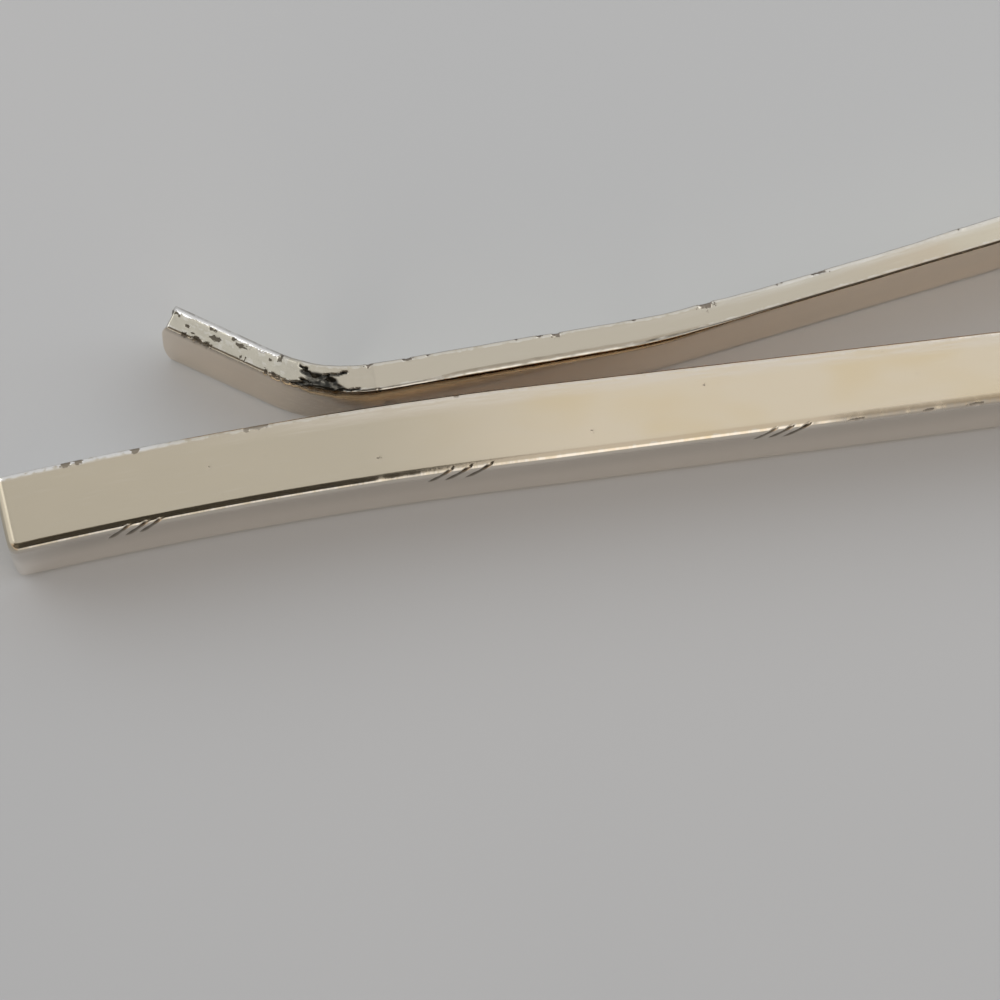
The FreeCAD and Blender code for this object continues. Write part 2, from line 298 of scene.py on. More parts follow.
def rough(a, b, c, scale):
    """Smooth noise from -1 to 1 at one point."""
    return noise.noise(Vector((a * scale, b * scale, c * scale)))


def rough_field(a, b, seed, scale):
    """Smooth noise from -1 to 1 over two arrays."""
    flat_a, flat_b = np.ravel(a), np.ravel(b)
    values = [rough(x, y, seed, scale) for x, y in zip(flat_a, flat_b)]
    return np.array(values).reshape(np.shape(a))


def field_where(chosen, a, b, seed, scale):
    """Smooth noise over two arrays at the chosen places, and 0 elsewhere."""
    values = np.zeros(chosen.shape)
    values[chosen] = rough_field(a[chosen], b[chosen], seed, scale)
    return values


def bite(s, p, nick, seed):
    """Depth from 0 to 1 of one nick: (place, place across, half length, half width)."""
    place, across, half_length, half_width = nick
    near = (np.abs(s - place) < 1.6 * half_length) & (np.abs(p - across) < 1.6 * half_width)
    depth = np.zeros_like(s)
    if near.any():
        reach = np.hypot((s[near] - place) / half_length, (p[near] - across) / half_width)
        ragged = 1 + 0.5 * rough_field(s[near], p[near], seed, 8.0)
        depth[near] = np.clip(1 - reach * ragged, 0, 1)
    return depth


def press(found, depth, chip, sink):
    """Adds a nick to the chipped places, and its depth to how far the surface sinks."""
    np.maximum(chip, found, out=chip)
    sink += depth * smooth(found, 0.1, 0.6)


def add_object(name, data):
    """New object in the scene for a mesh, a lamp or a camera."""
    obj = bpy.data.objects.new(name, data)
    bpy.context.scene.collection.objects.link(obj)
    return obj


def to_object(name, grid, attributes):
    """Closed object from a grid of rings, in millimetres from the fold's axis."""
    rings, size, _ = grid.shape
    verts = grid.reshape(-1, 3).copy()
    verts[:, :2] += FOLD_AXIS
    index = np.arange(rings * size).reshape(rings, size)
    turned = np.roll(index, -1, axis=1)
    faces = np.stack([index[:-1], turned[:-1], turned[1:], index[1:]], -1).reshape(-1, 4).tolist()
    faces += [index[0][::-1].tolist(), index[-1].tolist()]
    mesh = bpy.data.meshes.new(name)
    mesh.from_pydata((verts * MM).tolist(), [], faces)
    for key, values in attributes.items():
        kind = "FLOAT_VECTOR" if values.ndim == 3 else "FLOAT"
        layer = mesh.attributes.new(key, kind, "POINT")
        field = "vector" if values.ndim == 3 else "value"
        layer.data.foreach_set(field, np.ascontiguousarray(values, np.float32).ravel())
    mesh.validate()
    obj = add_object(name, mesh)
    face_outwards(obj)
    return obj


def face_outwards(obj):
    """Turns the normal of every face to the outside."""
    work = bmesh.new()
    work.from_mesh(obj.data)
    bmesh.ops.recalc_face_normals(work, faces=work.faces)
    work.to_mesh(obj.data)
    work.free()


def shade(obj, sharp_degrees):
    """Smooth shading, apart from edges sharper than an angle."""
    obj.data.polygons.foreach_set("use_smooth", [True] * len(obj.data.polygons))
    obj.data.set_sharp_from_angle(angle=math.radians(sharp_degrees))


def stand(path, outward, across, height, normals):
    """Grid of points with its normals, from a path, the path's normals and a section."""
    grid = np.concatenate([path + outward * across[..., None], height[..., None]], -1)
    facing = np.concatenate([outward * normals[..., :1], normals[..., 1:]], -1)
    return grid, facing


def sweep(path, places, section, thickness, radii, crowned_end=False):
    """Grid of rings along a path, their normals, and the places along and across."""
    points, normals = section.lay(thickness, WIDTH, radii)
    across, height = points[..., 0], points[..., 1]
    length = np.repeat(places[:, None], across.shape[1], 1)
    if crowned_end:
        left = places[-1] - length
        inset = rounded_end(left, LIP_END_ARRIS)
        half = thickness[:, None] / 2
        across = half + (across - half) * (half - inset) / half
        corner = np.clip(np.abs(height - WIDTH / 2) - 0.16 * WIDTH, 0, None) / (0.34 * WIDTH)
        length = length - LIP_CROWN * corner ** 2 * smooth(left, 1.6, 0.0)
        height = narrowed(height, inset)
    base, outward = path(length)
    grid, facing = stand(base, outward, across, height, normals)
    return grid, facing, length, across, height


def arris_wear(across, height, thickness, reach):
    """1 on the long arrises of a section, falling to 0 at a reach from them."""
    side = np.minimum(np.abs(across), np.abs(thickness - across))
    end = np.minimum(np.abs(height), np.abs(WIDTH - height))
    return 1 - smooth(np.hypot(side, end), 0.3 * reach, reach)


def strip_marks(length, across, height, wide, facing):
    """What the looks of the arm and of the fold have to know in common."""
    upward = facing[..., 2]
    side = np.abs(upward)
    return {
        "flow": np.stack([length, across + height, 0 * length], -1),
        "arris": arris_wear(across, height, wide, STRIP_WEAR_REACH),
        "polish": 1 - smooth(side, 0.75, 0.97),
        "inside": (across < 0.5 * wide) * (1 - smooth(side, 0.02, 0.25)),
        # painted edge shade: a dark line where the outer arris turns down
        "painted_edge_shade": (across > 0.5 * wide) * band(upward, 0.12, 0.62),
    }


# Nicks of the back arm's upper arrises: place, arris, half length, half width, depth
ARM_NICKS = [
    (40.10, "outer", 0.10, 0.12, 0.03),
    (37.46, "outer", 0.12, 0.36, 0.03),
    (41.20, "inner", 0.26, 0.16, 0.03),
    (40.72, "inner", 0.42, 0.26, 0.05),
    (40.28, "inner", 0.30, 0.20, 0.04),
    (39.20, "inner", 0.80, 0.07, 0.02),
    (37.78, "inner", 0.14, 0.24, 0.04),
    (37.40, "inner", 0.40, 0.18, 0.05),
    (33.58, "outer", 0.26, 0.24, 0.03),
    (33.30, "inner", 0.12, 0.12, 0.02),
    (31.98, "outer", 0.28, 0.26, 0.05),
    (30.10, "outer", 0.12, 0.10, 0.03),
    (26.15, "outer", 0.26, 0.32, 0.04),
    (25.80, "inner", 0.14, 0.12, 0.03),
    (23.40, "outer", 0.80, 0.10, 0.03),
    (20.05, "outer", 0.46, 0.38, 0.05),
    (17.10, "outer", 0.24, 0.12, 0.03),
    (15.40, "outer", 0.46, 0.20, 0.05),
    (9.60, "outer", 0.20, 0.12, 0.03),
    (5.20, "inner", 0.18, 0.10, 0.03),
    (31.20, "outer", 0.16, 0.15, 0.03),
    (27.75, "outer", 0.30, 0.10, 0.02),
    (26.75, "outer", 0.26, 0.15, 0.03),
]
# Flecks on the lip's upper side: place, place across, half length, half width
LIP_FLECKS = [
    (41.88, 0.70, 0.10, 0.08), (41.72, 0.64, 0.10, 0.06), (41.26, 0.42, 0.17, 0.08),
    (40.10, 0.42, 0.32, 0.13), (40.30, 0.70, 0.26, 0.08), (39.06, 0.58, 0.28, 0.11),
    (39.45, 0.72, 0.14, 0.08), (37.46, 0.74, 0.14, 0.18), (37.82, 0.56, 0.10, 0.08),
    (38.70, 0.16, 0.05, 0.17), (38.90, 0.20, 0.05, 0.13), (40.95, 0.25, 0.10, 0.05),
]
# Blackened dents at the bend: the two ends of each (place, place across) and half width
GOUGES = [
    ((36.30, 0.60), (35.90, 0.46), 0.14), ((35.90, 0.44), (35.20, 0.35), 0.28),
    ((35.30, 0.38), (34.90, 0.12), 0.24), ((36.10, 0.03), (34.90, 0.05), 0.19),
    ((36.60, 0.05), (36.15, 0.14), 0.12), ((37.00, 0.00), (36.75, 0.03), 0.07),
    ((35.45, 0.58), (34.58, 0.80), 0.07), ((34.90, 0.08), (34.00, 0.14), 0.055),
    ((36.40, 0.27), (35.95, 0.22), 0.07), ((36.60, 0.80), (36.25, 0.74), 0.05),
]

# Nicks of the front bar: length from its fold end, arris, half length, half width, depth
BAR_NICKS = [
    (45.05, "back", 0.26, 0.16, 0.012),
    (44.58, "back", 0.18, 0.13, 0.010),
    (42.38, "back", 0.28, 0.16, 0.012),
    (38.05, "back", 0.15, 0.16, 0.012),
    (37.60, "back", 0.55, 0.09, 0.010),
    (29.90, "back", 0.12, 0.08, 0.015),
    (14.64, "front", 0.40, 0.12, 0.02),
    (11.72, "front", 0.24, 0.11, 0.03),
    (9.90, "front", 0.42, 0.15, 0.035),
]
# Pits of its upper side: length, place across, half length, half width, depth
BAR_PITS = [(24.85, 2.10, 0.12, 0.12, 0.015), (33.20, 2.05, 0.12, 0.12, 0.015),
            (20.30, 0.80, 0.10, 0.10, 0.01), (39.70, 1.30, 0.10, 0.10, 0.01)]

# Upper ends of the engraved lines, in groups of three, and how deep each is cut. The last
# group is outside the photo.
ENGRAVED = [42.90, 42.20, 41.66, 30.26, 29.54, 28.72, 17.48, 16.86, 16.20, 4.85, 4.20, 3.54]
ENGRAVED_WEIGHT = [0.9, 1.0, 0.9, 0.85, 1.0, 1.0, 0.6, 0.75, 1.0, 0.8, 1.0, 0.9]
ENGRAVED_LEAN = math.tan(math.radians(25.0))
ENGRAVED_RUN = 3.4
ENGRAVED_HALF_WIDTH = 0.13
ENGRAVED_DEPTH = 0.11
# The lines lean more on the front bend than on the flat below it
BEND_SPREAD = 2.2


def bend_dents(length, across, height):
    """Blackened share and depth of the dents on the upper side of the bend before the lip."""
    gouge, dented = np.zeros_like(across), np.zeros_like(across)
    near = (length > 33.4) & (length < 37.6) & (height > WIDTH - 0.3)
    s, p = length[near], across[near]
    s_warp = s + 0.10 * rough_field(s, p, 4.0, 3.0)
    p_warp = p + 0.06 * rough_field(s, p, 9.0, 3.6)
    inside = np.zeros_like(s)
    for (s0, p0), (s1, p1), half_width in GOUGES:
        run, rise = s1 - s0, p1 - p0
        share = ((s_warp - s0) * run + (p_warp - p0) * rise) / (run * run + rise * rise)
        share = np.clip(share, 0, 1)
        reach = np.hypot(0.7 * (s_warp - s0 - share * run), p_warp - p0 - share * rise)
        inside = np.maximum(inside, 1 - reach / half_width)
    top = smooth(height[near], WIDTH - 0.28, WIDTH - 0.10)
    uneven = 0.7 + 0.5 * rough_field(s, p, 6.0, 4.0)
    gouge[near] = smooth(inside, -0.05, 0.35) * top
    dented[near] = smooth(inside, -0.2, 1.0) * uneven * top
    return gouge, dented


def make_arm():
    """Back arm with worn arrises, nicks, a polished lip and the dents at its bend."""
    tip = ARM_LENGTH - LIP_END_ARRIS
    fine = [(LIP_START - 5.6, tip, 0.045), (tip, ARM_LENGTH, 0.015)]
    fine += round_nicks(nick for nick in ARM_NICKS if nick[0] < LIP_START - 5)
    s = stations(ARM_LENGTH, 0.25, *fine)
    section = Section((10, 10), (16, 8), (5, 6))
    # the strip is a little thicker between knee and nip than at its root
    swell = ARM_SWELL * span(s, 20.5, 24.5, 33.0, 36.0)
    thickness = THICKNESS + swell - ARM_THINNING * span(s, 8.0, 13.0, 17.5, 20.5)
    arris = np.full_like(s, ARRIS)
    inner_top = arris + GRIP_ARRIS_WEAR * span(s, 19.0, 22.5, 29.5, 32.0)
    outer_top = arris + LIP_ARRIS_WEAR * smooth(s, 35.0, 38.5)
    grid, facing, length, across, height = sweep(
        arm_path, s, section, thickness, (inner_top, outer_top, arris, arris), True)
    wide = thickness[:, None] + 0 * across
    marks = strip_marks(length, across, height, wide, facing)
    upper, lower = height > WIDTH * 0.8, height < WIDTH * 0.2
    chip = np.zeros_like(across)
    sink = np.full_like(across, SKIN)

    lines = {"outer": (wide, -1), "inner": (0 * wide, 1)}
    for number, (place, line, half_length, half_width, depth) in enumerate(ARM_NICKS):
        edge, way = lines[line]
        over = across - edge + (WIDTH - height) * way
        found = bite(length, over, (place, 0.0, half_length, half_width), 3.1 * number)
        press(found * upper, depth, chip, sink)
    for number, fleck in enumerate(LIP_FLECKS):
        found = bite(length, across, fleck, 7.7 * number)
        press(found * (height > WIDTH - 0.2), FLECK_DEPTH, chip, sink)

    # nicks of the lower arrises, which the photo doesn't show
    draw = np.random.default_rng(11)
    for number in range(16):
        place = draw.uniform(1.0, ARM_LENGTH - 0.5)
        edge, way = lines[("outer", "inner")[number % 2]]
        over = across - edge + height * way
        nick = (place, 0.0, draw.uniform(0.10, 0.35), draw.uniform(0.08, 0.16))
        press(bite(length, over, nick, 50 + number) * lower, LOWER_NICK_DEPTH, chip, sink)

    gouge, dented = bend_dents(length, across, height)
    sink += GOUGE_DEPTH * dented

    # long shallow dents along the arrises, waves of the outer one, ripples across the lip
    wear = marks["arris"]
    touched = wear > 0.05
    sink += STRIP_DENT * wear * field_where(touched, length, across + height, 2.0, 1.9)
    outer = touched & (across > 0.5 * wide) & upper
    waves = np.maximum(field_where(outer, length, 0 * length, 71.0, 0.75) + 0.15, 0)
    sink += ARRIS_WAVE * wear * waves * (1 - smooth(length, 34.0, 37.0))
    on_lip = smooth(length, 35.5, 38.0) * (height > WIDTH * 0.9)
    sink += LIP_RIPPLE * on_lip * field_where(on_lip > 0.02, length, across * 1.6, 6.0, 2.4)

    # painted shade: a dark band under the inner arris, a dark line on the arris itself at the
    # root, and a darker nip
    upward = facing[..., 2]
    root = 1 - smooth(length, 16.5, 21.0)
    below = 0.46 + 1.0 * span(length, 25.5, 31.0, 36.0, 38.0)
    painted_shade_band = smooth(height, WIDTH - below, WIDTH - 0.20) * (1 - smooth(upward, 0.25, 0.55))
    painted_shade_band = painted_shade_band * (1 - root) * (1 - 0.45 * smooth(length, 35.5, 38.0))
    painted_shade_band = (across < 0.5 * wide) * (painted_shade_band + band(upward, *SHADE_BAND_SPAN) * root)
    nip = 0.4 * (1 - smooth(length, 35.2, 38.0)) + 0.12 * (1 - smooth(length, 38.0, 40.0))
    nip = nip * smooth(length, 32.5, 34.5) * marks["inside"]

    rim = wide - across + np.clip(WIDTH - 0.1 - height, 0, None)
    rim = 1 - np.clip(rim / (0.5 * wide), 0, 1)
    crest = smooth(across / wide, 0.50, 0.95) * (1 - smooth(length, 16.0, 23.0))
    marks.update({
        "chip": chip, "gouge": gouge, "painted_shade_band": np.maximum(painted_shade_band, nip), "crest": crest * upper,
        "lip": smooth(length, 34.6, 37.4) * smooth(upward, 0.2, 0.6),
        "rim": rim * smooth(length, 36.6, 38.4),
        "darker_to_free_end": smooth(length, 6.0, 18.0),
    })
    grid = grid - facing * np.maximum(sink, SKIN)[..., None]
    return to_object("back_arm_strip", grid, marks)


def make_fold():
    """Fold of the strip, from the facing's end round to the arm's root."""
    s = stations(FOLD_LENGTH, 0.12)
    section = Section((12, 12), (8, 8), (5, 5))
    arris = np.full_like(s, ARRIS)
    thickness = np.full_like(s, THICKNESS)
    grid, facing, length, across, height = sweep(fold_path, s, section, thickness, (arris,) * 4)
    wide = thickness[:, None] + 0 * across
    marks = strip_marks(length - FOLD_LENGTH, across, height, wide, facing)
    ends = smooth(length, 0.1, 0.8) * smooth(FOLD_LENGTH - length, 0.1, 0.8)
    dent = np.maximum(rough_field(length, across + height, 21.0, 1.7), 0.0)
    grid = grid - facing * (SKIN + STRIP_DENT * marks["arris"] * dent * ends)[..., None]
    # painted shade line on the inner arris, going on from the arm's root
    painted_shade_band = (across < 0.5 * wide) * band(facing[..., 2], *SHADE_BAND_SPAN)
    none = np.zeros_like(across)
    marks.update({
        "chip": none, "gouge": none, "lip": none, "rim": none, "darker_to_free_end": none,
        "painted_shade_band": painted_shade_band * (height > WIDTH / 2),
        "crest": smooth(across, 0.5 * THICKNESS, 0.95 * THICKNESS) * (height > WIDTH * 0.8),
    })
    return to_object("spring_fold_strip", grid, marks)


def lean_share(length):
    """Share of the engraved lines' lean that each station takes, none at the two ends."""
    return smooth(length, 0.0, 3.4) * smooth(BAR_LENGTH - length, 0.0, 4.4)


def front_run(points, normals, depth):
    """Run of the engraved lines down the front of the section, back to none at the bottom."""
    turned = np.arctan2(np.maximum(normals[..., 0], 0.0), normals[..., 1])
    down = BEND_SPREAD * FRONT_BEND * np.minimum(turned, math.pi / 2)
    down += np.clip(WIDTH - FRONT_BEND - points[..., 1], 0, None) * (normals[..., 0] > 0)
    down = np.minimum(down, ENGRAVED_RUN)
    under = normals[..., 1] < -0.999
    behind = (normals[..., 0] < 0) & (points[..., 1] < WIDTH / 2)
    share = np.clip(points[..., 0] / (depth - FRONT_BEND), 0, 1)
    return np.where(under, ENGRAVED_RUN * share, np.where(behind, 0.0, down))


def make_facing():
    """Facing with bends, engraved line groups, nicks and the hollow that holds the strip."""
    fine = [(BAR_LENGTH - FRONT_BEND, BAR_LENGTH, 0.03), (0, 0.1, 0.02)]
    fine += round_nicks(BAR_NICKS + BAR_PITS)
    base = stations(BAR_LENGTH, 0.22, *fine)
    # close stations across each engraved line take the place of those near it
    half = np.array([0.04, 0.08, 0.12, 0.17, 0.21])
    offsets = np.concatenate([-half[::-1], [0], half])
    lines = np.array(ENGRAVED)
    clear = np.abs(base[:, None] - lines[None]).min(1) > 0.23
    length = np.unique(np.round(np.concatenate(
        [base[clear], (lines[:, None] + offsets[None]).ravel()]), 4))

    # lay the ring once to lean the stations with the engraved lines on the front face
    section = Section((10, 22), (26, 10), (4, 9))
    station = np.repeat(length[:, None], section.size, 1)
    depth = bar_depth(length)
    bends = np.full_like(length, FRONT_BEND)
    hems = np.full_like(length, BACK_BEND)
    points, normals = section.lay(depth, WIDTH, (hems, bends, bends, hems))
    frontward, upward = normals[..., 0], normals[..., 1]
    lean = lean_share(station) * ENGRAVED_LEAN
    place = station + lean * front_run(points, normals, depth[:, None])

    wide = bar_depth(place)
    across = points[..., 0] * wide / depth[:, None]
    from_tip = BAR_LENGTH - place
    drawn_in = rounded_end(from_tip, FRONT_BEND) + rounded_end(place, MOUTH_ARRIS)
    behind = rounded_end(from_tip, BACK_BEND)
    height = narrowed(points[..., 1], drawn_in)
    across = behind + across * (wide - drawn_in - behind) / wide
    path, outward = bar_path(place)
    grid, facing = stand(path, outward, across, height, normals)

    # engraved lines, deepest by the upper arris
    front = smooth(frontward, 0.56, 0.84)
    reach = ENGRAVED_HALF_WIDTH * (1 + 0.5 * smooth(frontward, 0.8, 1.0))
    apart = np.abs(station[..., None] - lines)
    weight = np.array(ENGRAVED_WEIGHT)[apart.argmin(-1)]
    groove = np.clip(1 - apart.min(-1) / reach, 0, 1)
    groove = groove * front * weight * smooth(height, 3.95 - 0.3 * weight, 4.25 - 0.3 * weight)
    sink = SKIN + ENGRAVED_DEPTH * groove

    chip = np.zeros_like(across)
    upper, lower = height > WIDTH * 0.8, height < WIDTH * 0.2
    for number, (where, line, half_length, half_width, deep) in enumerate(BAR_NICKS):
        if line == "front":
            over = across - wide + (WIDTH - height) - 0.08
        else:
            over = across + (WIDTH - height) - 0.10
        found = bite(place, over, (where, 0.0, half_length, half_width), 2.3 * number)
        press(found * upper, deep, chip, sink)
    for number, (*pit, deep) in enumerate(BAR_PITS):
        found = bite(place, across, pit, 80 + number) * (height > WIDTH - 0.05)
        chip = np.maximum(chip, 0.45 * found)
        sink += deep * found

    # nicks of the lower arrises, which the photo doesn't show
    draw = np.random.default_rng(5)
    for number in range(14):
        nick = (draw.uniform(1.0, BAR_LENGTH - 1.0), 0.0,
                draw.uniform(0.1, 0.3), draw.uniform(0.1, 0.2))
        line = number % 2
        over = across - wide * line + height + (-0.1, -0.08)[line]
        found = bite(place, over, nick, 120 + number) * lower
        chip = np.maximum(chip, found)
        sink += BAR_LOWER_NICK_DEPTH * found

    # shallow dents along the arrises, and waves of the sheet
    wear = arris_wear(across, height, wide, BAR_WEAR_REACH)
    inwards = smooth(place, 0.0, 0.6)
    sink += BAR_DENT * wear * field_where(wear > 0.05, place, across + height, 30.0, 1.6) * inwards
    wave = rough_field(place * 0.35, across + height, 33.0, 0.6)
    sink += BAR_WAVE * wave * inwards * (frontward > -0.9)

    back = smooth(-frontward, 0.95, 0.995)
    marks = {
        "flow": np.stack([place, across + height, 0 * place], -1),
        "arris": wear, "chip": chip, "groove": groove,
        "darker_to_free_end": smooth(place, 23.5, 35.0),
        "show": smooth(frontward, 0.70, 0.97),
        "inside": back,
        "rubbed": smooth(place, 33.0, 38.0) * back,
        "pale": smooth(across, 0.75, 0.30) * (upward > 0.5) * smooth(place, 42.0, 30.0),
        "shaded": smooth(height, 1.8, 4.0) * (0.24 + 0.18 * smooth(place, 41.0, 46.0)),
        "worn": smooth(place, 16.4, 14.2) * band(frontward, 0.15, 0.90) * (height > WIDTH / 2),
        "bare": smooth(place, 39.5, 42.5) * smooth(across, 0.24, 0.10) * smooth(upward, 0.2, 0.5),
        "polish": smooth(np.abs(frontward), 0.05, 0.3),
    }
    grid = grid - facing * np.maximum(sink, SKIN)[..., None]
    obj = to_object("engraved_facing", grid, marks)
    hollow_out(obj)
    return obj


def cutter(name, near, far, low, high, start, end):
    """Plain bar along the front bar's bow, to cut the facing hollow."""
    places = np.linspace(start, end, CUT_STATIONS)
    path, outward = bar_path(np.clip(places, 0, None))
    path[:, 0] -= np.minimum(places, 0)
    corners = [(near, low), (near, high), (far, high), (far, low)]
    grid = np.zeros((len(places), 4, 3))
    for k, (across, height) in enumerate(corners):
        grid[:, k, :2] = path + outward * np.reshape(across + 0 * places, (-1, 1))
        grid[:, k, 2] = height
    return to_object(name, grid, {})


def hollow_out(obj):
    """Cuts the slot between the hems, the strip's channel and the hollow behind it."""
    end = BAR_LENGTH - SHEET
    front_wall = bar_depth(np.linspace(SHEET, end, CUT_STATIONS)) - SHEET
    channel_far = SHEET + THICKNESS + 2 * SEAT_CLEARANCE
    low, high = SHEET, WIDTH - SHEET
    tools = [
        cutter("slot_cut", -0.3, SHEET + 0.05, HEM_REACH, WIDTH - HEM_REACH, -0.3, end),
        cutter("channel_cut", SHEET, channel_far, low, high, -0.3, end),
        cutter("hollow_cut", SHEET + 0.1, front_wall, low, high, SHEET, end),
    ]
    for tool in tools:
        cut = obj.modifiers.new(tool.name, "BOOLEAN")
        cut.operation = "DIFFERENCE"
        cut.solver = "EXACT"
        cut.object = tool
    bpy.context.view_layer.update()
    evaluated = obj.evaluated_get(bpy.context.evaluated_depsgraph_get())
    mesh = bpy.data.meshes.new_from_object(evaluated)
    obj.modifiers.clear()
    obj.data = mesh
    for tool in tools:
        bpy.data.objects.remove(tool)


class Nodes:
    """Short way to lay out the nodes of a material or of the world."""

    def __init__(self, tree):
        self.tree = tree
        tree.nodes.clear()

    def put(self, value, socket):
        if isinstance(value, bpy.types.NodeSocket):
            self.tree.links.new(value, socket)
        else:
            socket.default_value = value

    def attribute(self, name, output="Fac"):
        node = self.tree.nodes.new("ShaderNodeAttribute")
        node.attribute_name = name
        return node.outputs[output]

    def place(self, output="Object"):
        """Place on the object in metres; for the world, Generated is the direction."""
        return self.tree.nodes.new("ShaderNodeTexCoord").outputs[output]

    def axes(self, vector):
        node = self.tree.nodes.new("ShaderNodeSeparateXYZ")
        self.put(vector, node.inputs[0])
        return node.outputs

    def math(self, operation, a, b, clamp=False):
        node = self.tree.nodes.new("ShaderNodeMath")
        node.operation = operation
        node.use_clamp = clamp
        self.put(a, node.inputs[0])
        self.put(b, node.inputs[1])
        return node.outputs[0]

    def plus(self, a, b, clamp=False):
        return self.math("ADD", a, b, clamp)

    def times(self, a, b):
        return self.math("MULTIPLY", a, b)

    def rest(self, value):
        """What is left of 1."""
        return self.math("SUBTRACT", 1.0, value)

    def around(self, value, amount):
        """A noise about its middle, times an amount."""
        return self.times(self.math("SUBTRACT", value, 0.5), amount)

    def noise(self, vector, factors, detail=3.0, roughness=0.55, distortion=0.0):
        scaled = self.tree.nodes.new("ShaderNodeVectorMath")
        scaled.operation = "MULTIPLY"
        self.put(vector, scaled.inputs[0])
        self.put(factors, scaled.inputs[1])
        node = self.tree.nodes.new("ShaderNodeTexNoise")
        self.put(scaled.outputs[0], node.inputs["Vector"])
        node.inputs["Scale"].default_value = 1.0
        node.inputs["Detail"].default_value = detail
        node.inputs["Roughness"].default_value = roughness
        node.inputs["Distortion"].default_value = distortion
        return node.outputs["Fac"]

    def step(self, value, low, high, start=0.0, end=1.0):
        node = self.tree.nodes.new("ShaderNodeMapRange")
        node.interpolation_type = "SMOOTHSTEP"
        self.put(value, node.inputs["Value"])
        node.inputs["From Min"].default_value = low
        node.inputs["From Max"].default_value = high
        node.inputs["To Min"].default_value = start
        node.inputs["To Max"].default_value = end
        return node.outputs[0]

    def mix(self, factor, a, b):
        node = self.tree.nodes.new("ShaderNodeMix")
        node.data_type = "RGBA"
        self.put(factor, node.inputs["Factor"])
        self.put(a if isinstance(a, bpy.types.NodeSocket) else (*a, 1.0), node.inputs["A"])
        self.put(b if isinstance(b, bpy.types.NodeSocket) else (*b, 1.0), node.inputs["B"])
        return node.outputs["Result"]

    def bump(self, height, distance, strength, normal=None):
        node = self.tree.nodes.new("ShaderNodeBump")
        self.put(height, node.inputs["Height"])
        node.inputs["Distance"].default_value = distance
        node.inputs["Strength"].default_value = strength
        if normal is not None:
            self.put(normal, node.inputs["Normal"])
        return node.outputs[0]


class Material(Nodes):
    """Nodes of a new material with one shader."""

    def __init__(self, name):
        self.material = bpy.data.materials.new(name)
        self.material.use_nodes = True
        super().__init__(self.material.node_tree)
        output = self.tree.nodes.new("ShaderNodeOutputMaterial")
        self.shader = self.tree.nodes.new("ShaderNodeBsdfPrincipled")
        self.put(self.shader.outputs[0], output.inputs[0])


# Colours of the gilt where it is clean, tan, and darker towards the free end
BAR_GILT = ((0.79, 0.685, 0.525), (0.79, 0.66, 0.455), (0.60, 0.535, 0.415))
STRIP_GILT = ((0.72, 0.655, 0.525), (0.71, 0.60, 0.45), (0.62, 0.565, 0.46))
# Gilt of the front face, of the inner faces, and of the bar's rubbed back edge
SHOW_GILT = (0.92, 0.85, 0.76)
INNER_GILT = (0.88, 0.745, 0.59)
PALE_GILT = (0.80, 0.725, 0.625)
# Metal that the gilt has worn off
WHITE_METAL = (0.87, 0.85, 0.80)
BARE_METAL = (0.93, 0.925, 0.91)
LIP_METAL = (0.62, 0.59, 0.50)
# Stains and tarnish
BAR_STAIN = (0.24, 0.205, 0.16)
TARNISH = (0.20, 0.165, 0.135)
DARK_TARNISH = (0.085, 0.070, 0.050)
BLACKENED = (0.030, 0.030, 0.027)


